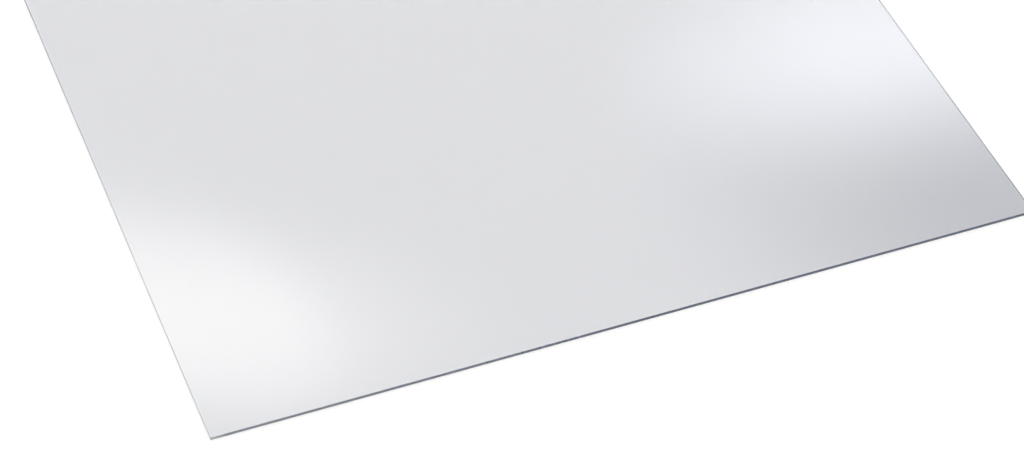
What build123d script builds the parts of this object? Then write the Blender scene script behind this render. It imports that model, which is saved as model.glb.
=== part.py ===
"""Clear polystyrene sheet, cut square to a stock size and lying flat.

Frame: +X across the width, +Y along the length, +Z up. The origin is the centre of the
underside, so the sheet rests on Z = 0. Sizes are in millimetres.
"""

from build123d import *
import os

# Stock size of the sheet
sheet_width = 500.0
sheet_length = 1000.0
sheet_thickness = 2.0

# Leg of the 45 degree bevel that deburring leaves where a cut edge meets a glossy face
deburr_bevel = 0.2


with BuildPart() as polystyrene_sheet:
    # The sheet is one extruded web of constant thickness, cut to a rectangle.
    with BuildSketch(Plane.XY):
        Rectangle(sheet_width, sheet_length)
    extrude(amount=sheet_thickness)

    # The upper and the lower glossy face meet the four cut edges in the bevel.
    glossy_faces = polystyrene_sheet.faces().filter_by(Axis.Z)
    chamfer(glossy_faces.edges(), length=deburr_bevel)

polystyrene_sheet.part.label = "polystyrene_sheet"

os.makedirs("parts", exist_ok=True)
export_step(polystyrene_sheet.part, "parts/polystyrene_sheet.step")
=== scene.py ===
"""A clear polystyrene sheet, 2 mm thick, lying on a white studio floor.

Everything is in metres, in the frame of the CAD model: +X across the width, +Y along the
length, +Z up, with the underside on Z = 0.
"""

from collections import namedtuple
import math
import bpy
from mathutils import Matrix, Vector, noise


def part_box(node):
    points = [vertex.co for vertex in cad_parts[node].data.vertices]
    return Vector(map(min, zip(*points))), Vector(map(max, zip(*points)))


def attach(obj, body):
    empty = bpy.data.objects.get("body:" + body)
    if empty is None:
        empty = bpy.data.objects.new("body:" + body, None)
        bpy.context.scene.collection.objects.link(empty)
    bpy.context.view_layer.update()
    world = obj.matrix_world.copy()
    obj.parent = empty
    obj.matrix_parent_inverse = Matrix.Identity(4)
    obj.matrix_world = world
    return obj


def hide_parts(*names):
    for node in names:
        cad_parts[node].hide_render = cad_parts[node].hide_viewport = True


SHEET_NODE = "polystyrene_sheet"

# The photograph's frame and lens: a pinhole with no shift and no roll
PHOTO_WIDTH_PX = 1024
PHOTO_HEIGHT_PX = 471
FOCAL_PX = 3167.0
SENSOR_WIDTH_MM = 36.0
NEAREST_SEEN = 0.05
FARTHEST_SEEN = 100.0

# The camera looks down on the sheet, turned about the vertical from the sheet's length.
CAMERA_TILT = math.radians(44.0)
CAMERA_TURN = math.radians(-20.93)

# Where the photograph shows the near left corner, and how deep it lies along the view
CORNER_PX = (210.4, 439.3)
CORNER_DEPTH = 1.7165

# Deburring bevel along the cut edges, as in the CAD model
BEVEL = 0.0002

# Cells of the mesh on the glossy faces, of which each side of the sheet is a whole number
# long, its steps along the rim to each cell, and its rows on a cut face between the bevels
FACE_CELL = 0.01
STEPS_PER_CELL = 16
CUT_ROWS = 6

# The saw's marks in the cut faces, and its slower chatter, which has a lane of the noise
# to itself
SAW_PITCH = 0.0034
SAW_DEPTH = 0.00003
SAW_SLANT = 0.35
CHATTER_LENGTH = 0.046
CHATTER_DEPTH = 0.00004
CHATTER_LANE = 7

# Long low waves that extrusion leaves in the upper glossy face
WAVE_DEPTH = 0.00003
WAVE_ACROSS = 0.085
WAVE_ALONG = 0.34

# Where the noise of the marks and waves starts, and the turn beyond which an edge is sharp
SEED = Vector((3.7, 8.1, 5.3))
SHARP_TURN = math.radians(25)

# The plastic, and what is left of the light that passes through on its way to the floor
PLASTIC_IOR = 1.59
CLEAR_TINT = (0.762, 0.772, 0.822, 1)
CLEAR_PASSING = (0.83, 0.832, 0.836, 1)
CUT_TRANSMISSION = 0.6
CUT_PASSING = (0.88, 0.88, 0.88, 1)

# Finish of the glossy faces: fine lines along them and patches of better or worse polish
DIE_LINE_PITCH = 0.006
DIE_LINE_DEPTH = 0.0000015
DIE_LINE_LEAN = 0.004
DIE_LINE_SHARE = 0.4
POLISH_PATCH = (0.12, 0.48, 0.12)
POLISH_SHARE = 0.6
FACE_ROUGHNESS = (0.035, 0.065)

# Frost on the cut faces, made of the marks of single teeth, of those of the saw's pitch,
# shifted so that they don't follow the others, and of a slow drift along the cut
TOOTH_MARK = 0.00055
TOOTH_MARK_DEPTH = 0.00004
TOOTH_SHARE = 0.35
PITCH_MARK_SHIFT = 3.1
PITCH_MARK_SHARE = 0.25
DRIFT_LENGTH = 0.19
DRIFT_SHARE = 0.4

# The span that the sum of these keeps to, the frost that it stands for, and the finish
# from no frost to full frost
FROST_SPAN = (0.3, 0.7)
FROST = (0.0, 0.19)
CUT_DARK = (0.15, 0.21, 0.36, 1)
CUT_LIGHT = (0.905, 0.935, 0.97, 1)
CUT_ROUGHNESS = (0.2, 0.6)

# Ovals of painted glow, in which the cut is painted lighter where light falls about the near left
# corner, and made rougher too:
# where, from the near left corner, how far each way, and by how much
PaintedGlowSpot = namedtuple("PaintedGlowSpot", "offset reach more")
PAINTED_GLOW_CORNER = PaintedGlowSpot(offset=(0, 0, 0), reach=(0.26, 0.3, 1), more=0.36)
PAINTED_GLOW_SIDE = PaintedGlowSpot(offset=(0, 0.08, 0), reach=(0.01, 0.32, 1), more=0.9)

# The floor, just under the sheet, and the light that the camera and the plastic see in it
FLOOR_SIZE = 60.0
FLOOR_GAP = 0.0005
FLOOR_WHITE = (0.8, 0.8, 0.8, 1)
FLOOR_FILL = 0.24

# The tent all round: its level at the horizon and overhead, how fine its folds are, how
# dark and light they make it, and where in their noise they get lit, with the glow of a
# lit fold overhead
TENT_LEVELS = (0.56, 0.39)
FOLD_SCALE = (17.0, 17.0, 6.0)
FOLD_LEVELS = (0.4, 1.45)
FOLD_LIT = (0.47, 0.63)
FOLD_GLOW = 2.25

# Soft ovals in the sky, which the sheet mirrors: azimuth, elevation, half sizes and roll in
# degrees, the share of its half size over which an oval fades, and how strong it is
Patch = namedtuple("Patch", "azimuth elevation half_width half_height roll fade strength")
PANEL = Patch(azimuth=21, elevation=43, half_width=28.5, half_height=17,
              roll=0, fade=0.45, strength=1)
DARK_CARD = Patch(azimuth=35, elevation=42.5, half_width=9, half_height=4.5,
                  roll=-5, fade=0.8, strength=1)
LEFT_GLOW = Patch(azimuth=12.5, elevation=45.25, half_width=7, half_height=2.5,
                  roll=10, fade=0.9, strength=1.3)
LEFT_GLOW_CORE = Patch(azimuth=12.5, elevation=45, half_width=4, half_height=2,
                       roll=30, fade=0.5, strength=0.8)
RIGHT_GLOW = Patch(azimuth=30, elevation=40.5, half_width=6, half_height=2.5,
                   roll=-10, fade=1, strength=2.3)

# The panel's level and colour, and the colour of all other light
PANEL_LEVEL = 1.85
WARM_WHITE = (1.0, 0.975, 0.89, 1)
WHITE = (1, 1, 1, 1)


def link(output, into):
    """Joins a node's output to another node's input."""
    into.id_data.links.new(output, into)


def math_node(nodes, operation, first, second):
    """The result of one sum. Each of the two terms is a socket or a number."""
    node = nodes.new("ShaderNodeMath")
    node.operation = operation
    for value, socket in ((first, node.inputs[0]), (second, node.inputs[1])):
        if isinstance(value, (int, float)):
            socket.default_value = value
        else:
            link(value, socket)
    return node.outputs[0]


def weighed(nodes, *terms):
    """The sum of some values, each given with its weight."""
    parts = [math_node(nodes, "MULTIPLY", value, weight) for value, weight in terms]
    total = parts[0]
    for part in parts[1:]:
        total = math_node(nodes, "ADD", total, part)
    return total


def ranged(nodes, value, lowest, highest, start=0.25, end=0.75, smooth=False):
    """The value, which runs from start to end, as one that runs from lowest to highest.

    Unless they are given, start and end are what most of Blender's noise keeps to.
    """
    node = nodes.new("ShaderNodeMapRange")
    node.interpolation_type = "SMOOTHSTEP" if smooth else "LINEAR"
    node.inputs["From Min"].default_value = start
    node.inputs["From Max"].default_value = end
    node.inputs["To Min"].default_value = lowest
    node.inputs["To Max"].default_value = highest
    link(value, node.inputs["Value"])
    return node.outputs[0]


def colour_mix(nodes, factor, first, second):
    """A colour between two others."""
    mix = nodes.new("ShaderNodeMix")
    mix.data_type = "RGBA"
    mix.inputs["A"].default_value = first
    mix.inputs["B"].default_value = second
    link(factor, mix.inputs["Factor"])
    return mix.outputs["Result"]


def object_place(nodes):
    """The place on the sheet, in its own frame."""
    return nodes.new("ShaderNodeTexCoord").outputs["Object"]


def place_along(nodes, weights):
    """The three parts of the place on the sheet, weighed and added up, in metres."""
    dot = nodes.new("ShaderNodeVectorMath")
    dot.operation = "DOT_PRODUCT"
    dot.inputs[1].default_value = weights
    link(object_place(nodes), dot.inputs[0])
    return dot.outputs["Value"]


def noise_along(nodes, place, length, detail):
    """Noise from 0 to 1 along a place, with features of about this length in metres."""
    grain = nodes.new("ShaderNodeTexNoise")
    grain.noise_dimensions = "1D"
    grain.inputs["Scale"].default_value = 1 / length
    grain.inputs["Detail"].default_value = detail
    link(place, grain.inputs["W"])
    return grain.outputs["Fac"]


def noise_in(nodes, place, scale, detail):
    """Noise from 0 to 1 in space, with about scale features to the unit each way."""
    stretched = nodes.new("ShaderNodeMapping")
    stretched.inputs["Scale"].default_value = scale
    link(place, stretched.inputs["Vector"])
    grain = nodes.new("ShaderNodeTexNoise")
    grain.inputs["Scale"].default_value = 1.0
    grain.inputs["Detail"].default_value = detail
    link(stretched.outputs[0], grain.inputs["Vector"])
    return grain.outputs["Fac"]


def oval(nodes, place, centre, reach, turn=(0, 0, 0)):
    """A value that is 1 at the centre of an oval and falls evenly to 0 at its rim."""
    moved = nodes.new("ShaderNodeMapping")
    moved.vector_type = "TEXTURE"
    moved.inputs["Location"].default_value = centre
    moved.inputs["Rotation"].default_value = turn
    moved.inputs["Scale"].default_value = reach
    link(place, moved.inputs["Vector"])
    ball = nodes.new("ShaderNodeTexGradient")
    ball.gradient_type = "SPHERICAL"
    link(moved.outputs[0], ball.inputs[0])
    return ball.outputs["Fac"]


def light_path(nodes, *rays):
    """A value that is 1 for any of these kinds of ray, and 0 for the others."""
    path = nodes.new("ShaderNodeLightPath")
    found = path.outputs[rays[0]]
    for ray in rays[1:]:
        found = math_node(nodes, "MAXIMUM", found, path.outputs[ray])
    return found


def new_material(name):
    """An empty material, its nodes, and the socket that its surface goes into."""
    material = bpy.data.materials.new(name)
    material.use_nodes = True
    nodes = material.node_tree.nodes
    nodes.clear()
    return material, nodes, nodes.new("ShaderNodeOutputMaterial").inputs["Surface"]


def new_plastic(nodes, transmission):
    """A shader of polystyrene."""
    plastic = nodes.new("ShaderNodeBsdfPrincipled")
    plastic.inputs["Transmission Weight"].default_value = transmission
    plastic.inputs["IOR"].default_value = PLASTIC_IOR
    return plastic


def add_bump(nodes, height, depth, shader):
    """Gives a shader relief of this depth in metres."""
    bump = nodes.new("ShaderNodeBump")
    bump.inputs["Distance"].default_value = depth
    link(height, bump.inputs["Height"])
    link(bump.outputs[0], shader.inputs["Normal"])


def passing_light(nodes, shader, colour):
    """The shader as it is seen, but plainly see-through for light on its way to the floor."""
    seen = shader.outputs[0]
    for ray in ("Is Diffuse Ray", "Is Shadow Ray"):
        plain = nodes.new("ShaderNodeBsdfTransparent")
        plain.inputs["Color"].default_value = colour
        mix = nodes.new("ShaderNodeMixShader")
        link(light_path(nodes, ray), mix.inputs[0])
        link(seen, mix.inputs[1])
        link(plain.outputs[0], mix.inputs[2])
        seen = mix.outputs[0]
    return seen


def clear_plastic():
    """The glossy faces: clear, faintly blue, with the lines that extrusion draws along them."""
    material, nodes, surface = new_material("clear_polystyrene")
    plastic = new_plastic(nodes, transmission=1.0)
    plastic.inputs["Base Color"].default_value = CLEAR_TINT

    # The lines run the length of the sheet, and the polish varies in long patches.
    across = place_along(nodes, (1, DIE_LINE_LEAN, 0))
    lines = noise_along(nodes, across, DIE_LINE_PITCH, detail=3.0)
    scale = [1 / size for size in POLISH_PATCH]
    patches = noise_in(nodes, object_place(nodes), scale, detail=2.0)
    polish = weighed(nodes, (lines, DIE_LINE_SHARE), (patches, POLISH_SHARE))
    link(ranged(nodes, polish, *FACE_ROUGHNESS), plastic.inputs["Roughness"])
    add_bump(nodes, lines, DIE_LINE_DEPTH, plastic)
    link(passing_light(nodes, plastic, CLEAR_PASSING), surface)
    return material


def cut_plastic(corner):
    """The cut faces: frosted by the saw, with its slanting marks from one face to the other.

    About the sheet's near left corner, which is given, the cut is painted lighter, a painted glow
    of the light there, and is made rougher too.
    """
    material, nodes, surface = new_material("cut_edge")
    plastic = new_plastic(nodes, CUT_TRANSMISSION)

    # One place along the rim serves all four sides, since on each either x or y is constant.
    along = place_along(nodes, (1, 1, SAW_SLANT))
    tooth = noise_along(nodes, along, TOOTH_MARK, detail=2.0)
    shifted = math_node(nodes, "ADD", along, PITCH_MARK_SHIFT)
    marks = noise_along(nodes, shifted, SAW_PITCH, detail=1.0)
    drift = noise_along(nodes, along, DRIFT_LENGTH, detail=1.0)
    frost_and_glow = weighed(nodes, (tooth, TOOTH_SHARE), (marks, PITCH_MARK_SHARE), (drift, DRIFT_SHARE))
    frost_and_glow = ranged(nodes, frost_and_glow, *FROST, *FROST_SPAN)
    # Painted highlight: two ovals by the near left corner are added to the frost, so that the cut
    # there is painted lighter, and is rougher too.
    for spot in (PAINTED_GLOW_CORNER, PAINTED_GLOW_SIDE):
        near = oval(nodes, object_place(nodes), corner + Vector(spot.offset), spot.reach)
        frost_and_glow = math_node(nodes, "ADD", frost_and_glow, math_node(nodes, "MULTIPLY", near, spot.more))

    # The more frost and painted glow there are, the rougher and lighter the cut.
    link(colour_mix(nodes, frost_and_glow, CUT_DARK, CUT_LIGHT), plastic.inputs["Base Color"])
    link(ranged(nodes, frost_and_glow, *CUT_ROUGHNESS, 0.0, 1.0), plastic.inputs["Roughness"])
    add_bump(nodes, tooth, TOOTH_MARK_DEPTH, plastic)
    link(passing_light(nodes, plastic, CUT_PASSING), surface)
    return material


def white_floor():
    """White paint, with a little light of its own for whatever looks at it."""
    material, nodes, surface = new_material("white_floor")
    paint = nodes.new("ShaderNodeBsdfDiffuse")
    paint.inputs["Color"].default_value = FLOOR_WHITE
    glow = nodes.new("ShaderNodeEmission")
    glow.inputs["Color"].default_value = WHITE
    looked_at = light_path(nodes, "Is Camera Ray", "Is Glossy Ray", "Is Transmission Ray")
    link(math_node(nodes, "MULTIPLY", looked_at, FLOOR_FILL), glow.inputs["Strength"])
    both = nodes.new("ShaderNodeAddShader")
    link(paint.outputs[0], both.inputs[0])
    link(glow.outputs[0], both.inputs[1])
    link(both.outputs[0], surface)
    return material


def smooth_noise(x, y):
    """Noise from 0 to 1 at a place in a plane, with about one feature to the unit."""
    return 0.5 + 0.5 * noise.noise(Vector((x, y, 0)) + SEED)


def saw_relief(along, height):
    """How far the cut face lies inside the sheet's outline, in metres, never below zero.

    Each length of the saw's marks holds two features of the noise: a rise and a fall.
    """
    marks = along + SAW_SLANT * height
    fine = smooth_noise(marks / SAW_PITCH * 2, 0)
    coarse = smooth_noise(marks / CHATTER_LENGTH * 2, CHATTER_LANE)
    return SAW_DEPTH * fine + CHATTER_DEPTH * coarse


def wave_drop(x, y):
    """How far the upper glossy face lies below the sheet's full thickness, in metres."""
    return WAVE_DEPTH * smooth_noise(x / WAVE_ACROSS, y / WAVE_ALONG)


def rim(half_width, half_length):
    """Points round the sheet's outline, counterclockwise from its near left corner.

    Each is (x, y, inward x, inward y, distance along the rim).
    """
    corners = [(-1, -1), (1, -1), (1, 1), (-1, 1)]
    points, gone = [], 0.0
    for i, (sx, sy) in enumerate(corners):
        nx, ny = corners[(i + 1) % 4]
        start = Vector((sx * half_width, sy * half_length))
        side = Vector((nx * half_width, ny * half_length)) - start
        way = side.normalized()
        count = round(side.length / FACE_CELL) * STEPS_PER_CELL
        for k in range(count):
            place = start + side * k / count
            inward = Vector((-way.y, way.x)) if k else Vector((-sx, -sy))
            points.append((*place, *inward, gone + side.length * k / count))
        gone += side.length
    return points


def rim_band(count, rows):
    """Quads of the cut faces, between rows of count points each, from the lowest row up."""
    quads = []
    for low in range(0, count * (rows - 1), count):
        high = low + count
        for k in range(count):
            n = (k + 1) % count
            quads.append((low + k, low + n, high + n, high + k))
    return quads


def fan(fine, near, far):
    """Triangles from the fine rim points along one cell to the two grid points beside it."""
    half = len(fine) // 2
    triangles = []
    for k in range(len(fine) - 1):
        if k == half and near != far:
            triangles.append((fine[half], far, near))
        triangles.append((fine[k], fine[k + 1], near if k < half else far))
    return triangles


def glossy_face(verts, ring, half_width, half_length, height):
    """The faces of one glossy side: a grid of cells, joined to its ring of rim points.

    The grid's points are added to verts, at the height that height(x, y) gives.
    """
    across = round(2 * half_width / FACE_CELL)
    lengthwise = round(2 * half_length / FACE_CELL)
    grid = {}
    for i in range(1, across):
        for j in range(1, lengthwise):
            x, y = i * FACE_CELL - half_width, j * FACE_CELL - half_length
            grid[i, j] = len(verts)
            verts.append((x, y, height(x, y)))
    faces = [(grid[i, j], grid[i + 1, j], grid[i + 1, j + 1], grid[i, j + 1])
             for i in range(1, across - 1) for j in range(1, lengthwise - 1)]

    # Cell corners round the outline, in the order of the ring, and the grid point by each
    border = [(i, 0) for i in range(across)]
    border += [(across, j) for j in range(lengthwise)]
    border += [(i, lengthwise) for i in range(across, 0, -1)]
    border += [(0, j) for j in range(lengthwise, 0, -1)]
    beside = [grid[min(max(i, 1), across - 1), min(max(j, 1), lengthwise - 1)]
              for i, j in border]
    for k, near in enumerate(beside):
        first = k * STEPS_PER_CELL
        fine = [ring[(first + n) % len(ring)] for n in range(STEPS_PER_CELL + 1)]
        faces += fan(fine, near, beside[(k + 1) % len(beside)])
    return faces


def sheet_mesh(low, high):
    """The sheet as one closed mesh, with material 0 on its glossy faces and 1 on its cut ones."""
    half_width, half_length, thick = high.x, high.y, high.z - low.z
    outline = rim(half_width, half_length)
    count = len(outline)
    heights = [BEVEL + (thick - 2 * BEVEL) * k / CUT_ROWS for k in range(CUT_ROWS + 1)]
    rows = [(BEVEL, 0.0)] + [(0.0, height) for height in heights] + [(BEVEL, thick)]
    verts = []
    for inset, height in rows:
        for x, y, inward_x, inward_y, along in outline:
            depth = inset + saw_relief(along, height)
            px, py = x + inward_x * depth, y + inward_y * depth
            drop = wave_drop(px, py) if height == thick else 0.0
            verts.append((px, py, height - drop))
    cut = rim_band(count, len(rows))
    lowest, highest = range(count), range(count * (len(rows) - 1), count * len(rows))
    under = glossy_face(verts, lowest, half_width, half_length, lambda x, y: 0.0)
    upper = glossy_face(verts, highest, half_width, half_length,
                        lambda x, y: thick - wave_drop(x, y))
    glossy = [face[::-1] for face in under] + upper
    mesh = bpy.data.meshes.new("polystyrene_sheet_clear")
    mesh.from_pydata(verts, [], cut + glossy)
    mesh.polygons.foreach_set("material_index", [1] * len(cut) + [0] * len(glossy))
    mesh.polygons.foreach_set("use_smooth", [True] * len(mesh.polygons))
    mesh.set_sharp_from_angle(angle=SHARP_TURN)
    mesh.validate()
    mesh.update()
    return mesh


def make_sheet():
    """The sheet, in place of its plain CAD node."""
    low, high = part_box(SHEET_NODE)
    mesh = sheet_mesh(low, high)
    mesh.materials.append(clear_plastic())
    mesh.materials.append(cut_plastic(low))
    sheet = bpy.data.objects.new("clear_sheet", mesh)
    bpy.context.scene.collection.objects.link(sheet)
    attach(sheet, "root")
    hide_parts(SHEET_NODE)


def make_floor():
    """A wide white floor just under the sheet."""
    half = FLOOR_SIZE / 2
    corners = [(-half, -half), (half, -half), (half, half), (-half, half)]
    mesh = bpy.data.meshes.new("floor")
    mesh.from_pydata([(x, y, -FLOOR_GAP) for x, y in corners], [], [(0, 1, 2, 3)])
    mesh.materials.append(white_floor())
    floor = bpy.data.objects.new("floor", mesh)
    bpy.context.scene.collection.objects.link(floor)


def make_camera():
    """The photograph's camera, placed so that the near left corner falls on its pixel."""
    level = math.cos(CAMERA_TILT)
    turn_x, turn_y = math.cos(CAMERA_TURN), math.sin(CAMERA_TURN)
    right = Vector((turn_x, turn_y, 0))
    back = Vector((turn_y * level, -turn_x * level, math.sin(CAMERA_TILT)))
    up = back.cross(right)
    low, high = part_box(SHEET_NODE)
    corner = Vector((low.x, low.y, (low.z + high.z) / 2))
    ray = (-back + right * (CORNER_PX[0] - PHOTO_WIDTH_PX / 2) / FOCAL_PX
           - up * (CORNER_PX[1] - PHOTO_HEIGHT_PX / 2) / FOCAL_PX)
    data = bpy.data.cameras.new("camera")
    data.sensor_width = SENSOR_WIDTH_MM
    data.lens = SENSOR_WIDTH_MM * FOCAL_PX / PHOTO_WIDTH_PX
    data.clip_start = NEAREST_SEEN
    data.clip_end = FARTHEST_SEEN
    camera = bpy.data.objects.new("camera", data)
    turned = Matrix((right, up, back)).transposed().to_4x4()
    camera.matrix_world = Matrix.Translation(corner - ray * CORNER_DEPTH) @ turned
    bpy.context.scene.collection.objects.link(camera)
    bpy.context.scene.camera = camera


def soft_patch(nodes, view, patch):
    """A value with a patch's strength in its middle, which fades to 0 at its rim.

    Azimuth counts from +Y towards +X, and elevation up from the horizon.
    """
    azimuth, elevation = math.radians(patch.azimuth), math.radians(patch.elevation)
    roll = math.radians(patch.roll)
    across = Vector((math.cos(azimuth), -math.sin(azimuth), 0))
    centre = Vector((math.sin(azimuth) * math.cos(elevation),
                     math.cos(azimuth) * math.cos(elevation), math.sin(elevation)))
    upward = across.cross(centre)
    turned = Matrix((across * math.cos(roll) + upward * math.sin(roll), centre,
                     upward * math.cos(roll) - across * math.sin(roll))).transposed()
    reach = (math.radians(patch.half_width), 1, math.radians(patch.half_height))
    inside = oval(nodes, view, centre, reach, turned.to_euler("XYZ"))
    return ranged(nodes, inside, 0.0, patch.strength, 0.0, patch.fade, smooth=True)


def tent_level(nodes, view):
    """How bright the tent is: cloth in soft upright folds, some of them lit."""
    folds = noise_in(nodes, view, FOLD_SCALE, detail=0.0)
    cloth = ranged(nodes, folds, *FOLD_LEVELS)
    lit = ranged(nodes, folds, 0.0, 1.0, *FOLD_LIT, smooth=True)
    axes = nodes.new("ShaderNodeSeparateXYZ")
    link(view, axes.inputs[0])
    rise = ranged(nodes, axes.outputs["Z"], *TENT_LEVELS, 0.0, 1.0)
    glow = ranged(nodes, axes.outputs["Z"], 0.0, FOLD_GLOW, 0.0, 1.0)
    return weighed(nodes, (cloth, rise), (lit, glow))


def make_world():
    """The tent all round, and across from the camera a panel with two glows and a card."""
    world = bpy.data.worlds.new("studio")
    bpy.context.scene.world = world
    world.use_nodes = True
    world.cycles.sampling_method = "NONE"
    nodes = world.node_tree.nodes
    nodes.clear()
    out = nodes.new("ShaderNodeOutputWorld")
    background = nodes.new("ShaderNodeBackground")
    view = nodes.new("ShaderNodeTexCoord").outputs["Generated"]

    panel = soft_patch(nodes, view, PANEL)
    mixed = nodes.new("ShaderNodeMix")
    link(panel, mixed.inputs["Factor"])
    link(tent_level(nodes, view), mixed.inputs["A"])
    mixed.inputs["B"].default_value = PANEL_LEVEL
    card = math_node(nodes, "SUBTRACT", 1.0, soft_patch(nodes, view, DARK_CARD))
    level = math_node(nodes, "MULTIPLY", mixed.outputs["Result"], card)
    right_glow = soft_patch(nodes, view, RIGHT_GLOW)
    for glow in (soft_patch(nodes, view, LEFT_GLOW),
                 soft_patch(nodes, view, LEFT_GLOW_CORE), right_glow):
        level = math_node(nodes, "ADD", level, glow)

    # The panel is warm, but not where the right glow is.
    warm = math_node(nodes, "SUBTRACT", panel, right_glow)
    link(colour_mix(nodes, warm, WHITE, WARM_WHITE), background.inputs["Color"])
    link(level, background.inputs["Strength"])
    link(background.outputs[0], out.inputs["Surface"])


bpy.context.scene.view_settings.view_transform = "Standard"
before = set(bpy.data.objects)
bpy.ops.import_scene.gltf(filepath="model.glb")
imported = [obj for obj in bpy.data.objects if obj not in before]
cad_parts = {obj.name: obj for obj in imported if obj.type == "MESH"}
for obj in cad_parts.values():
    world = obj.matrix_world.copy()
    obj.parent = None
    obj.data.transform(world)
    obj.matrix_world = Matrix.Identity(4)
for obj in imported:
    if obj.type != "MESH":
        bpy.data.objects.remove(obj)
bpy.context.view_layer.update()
make_sheet()
make_floor()
make_camera()
make_world()
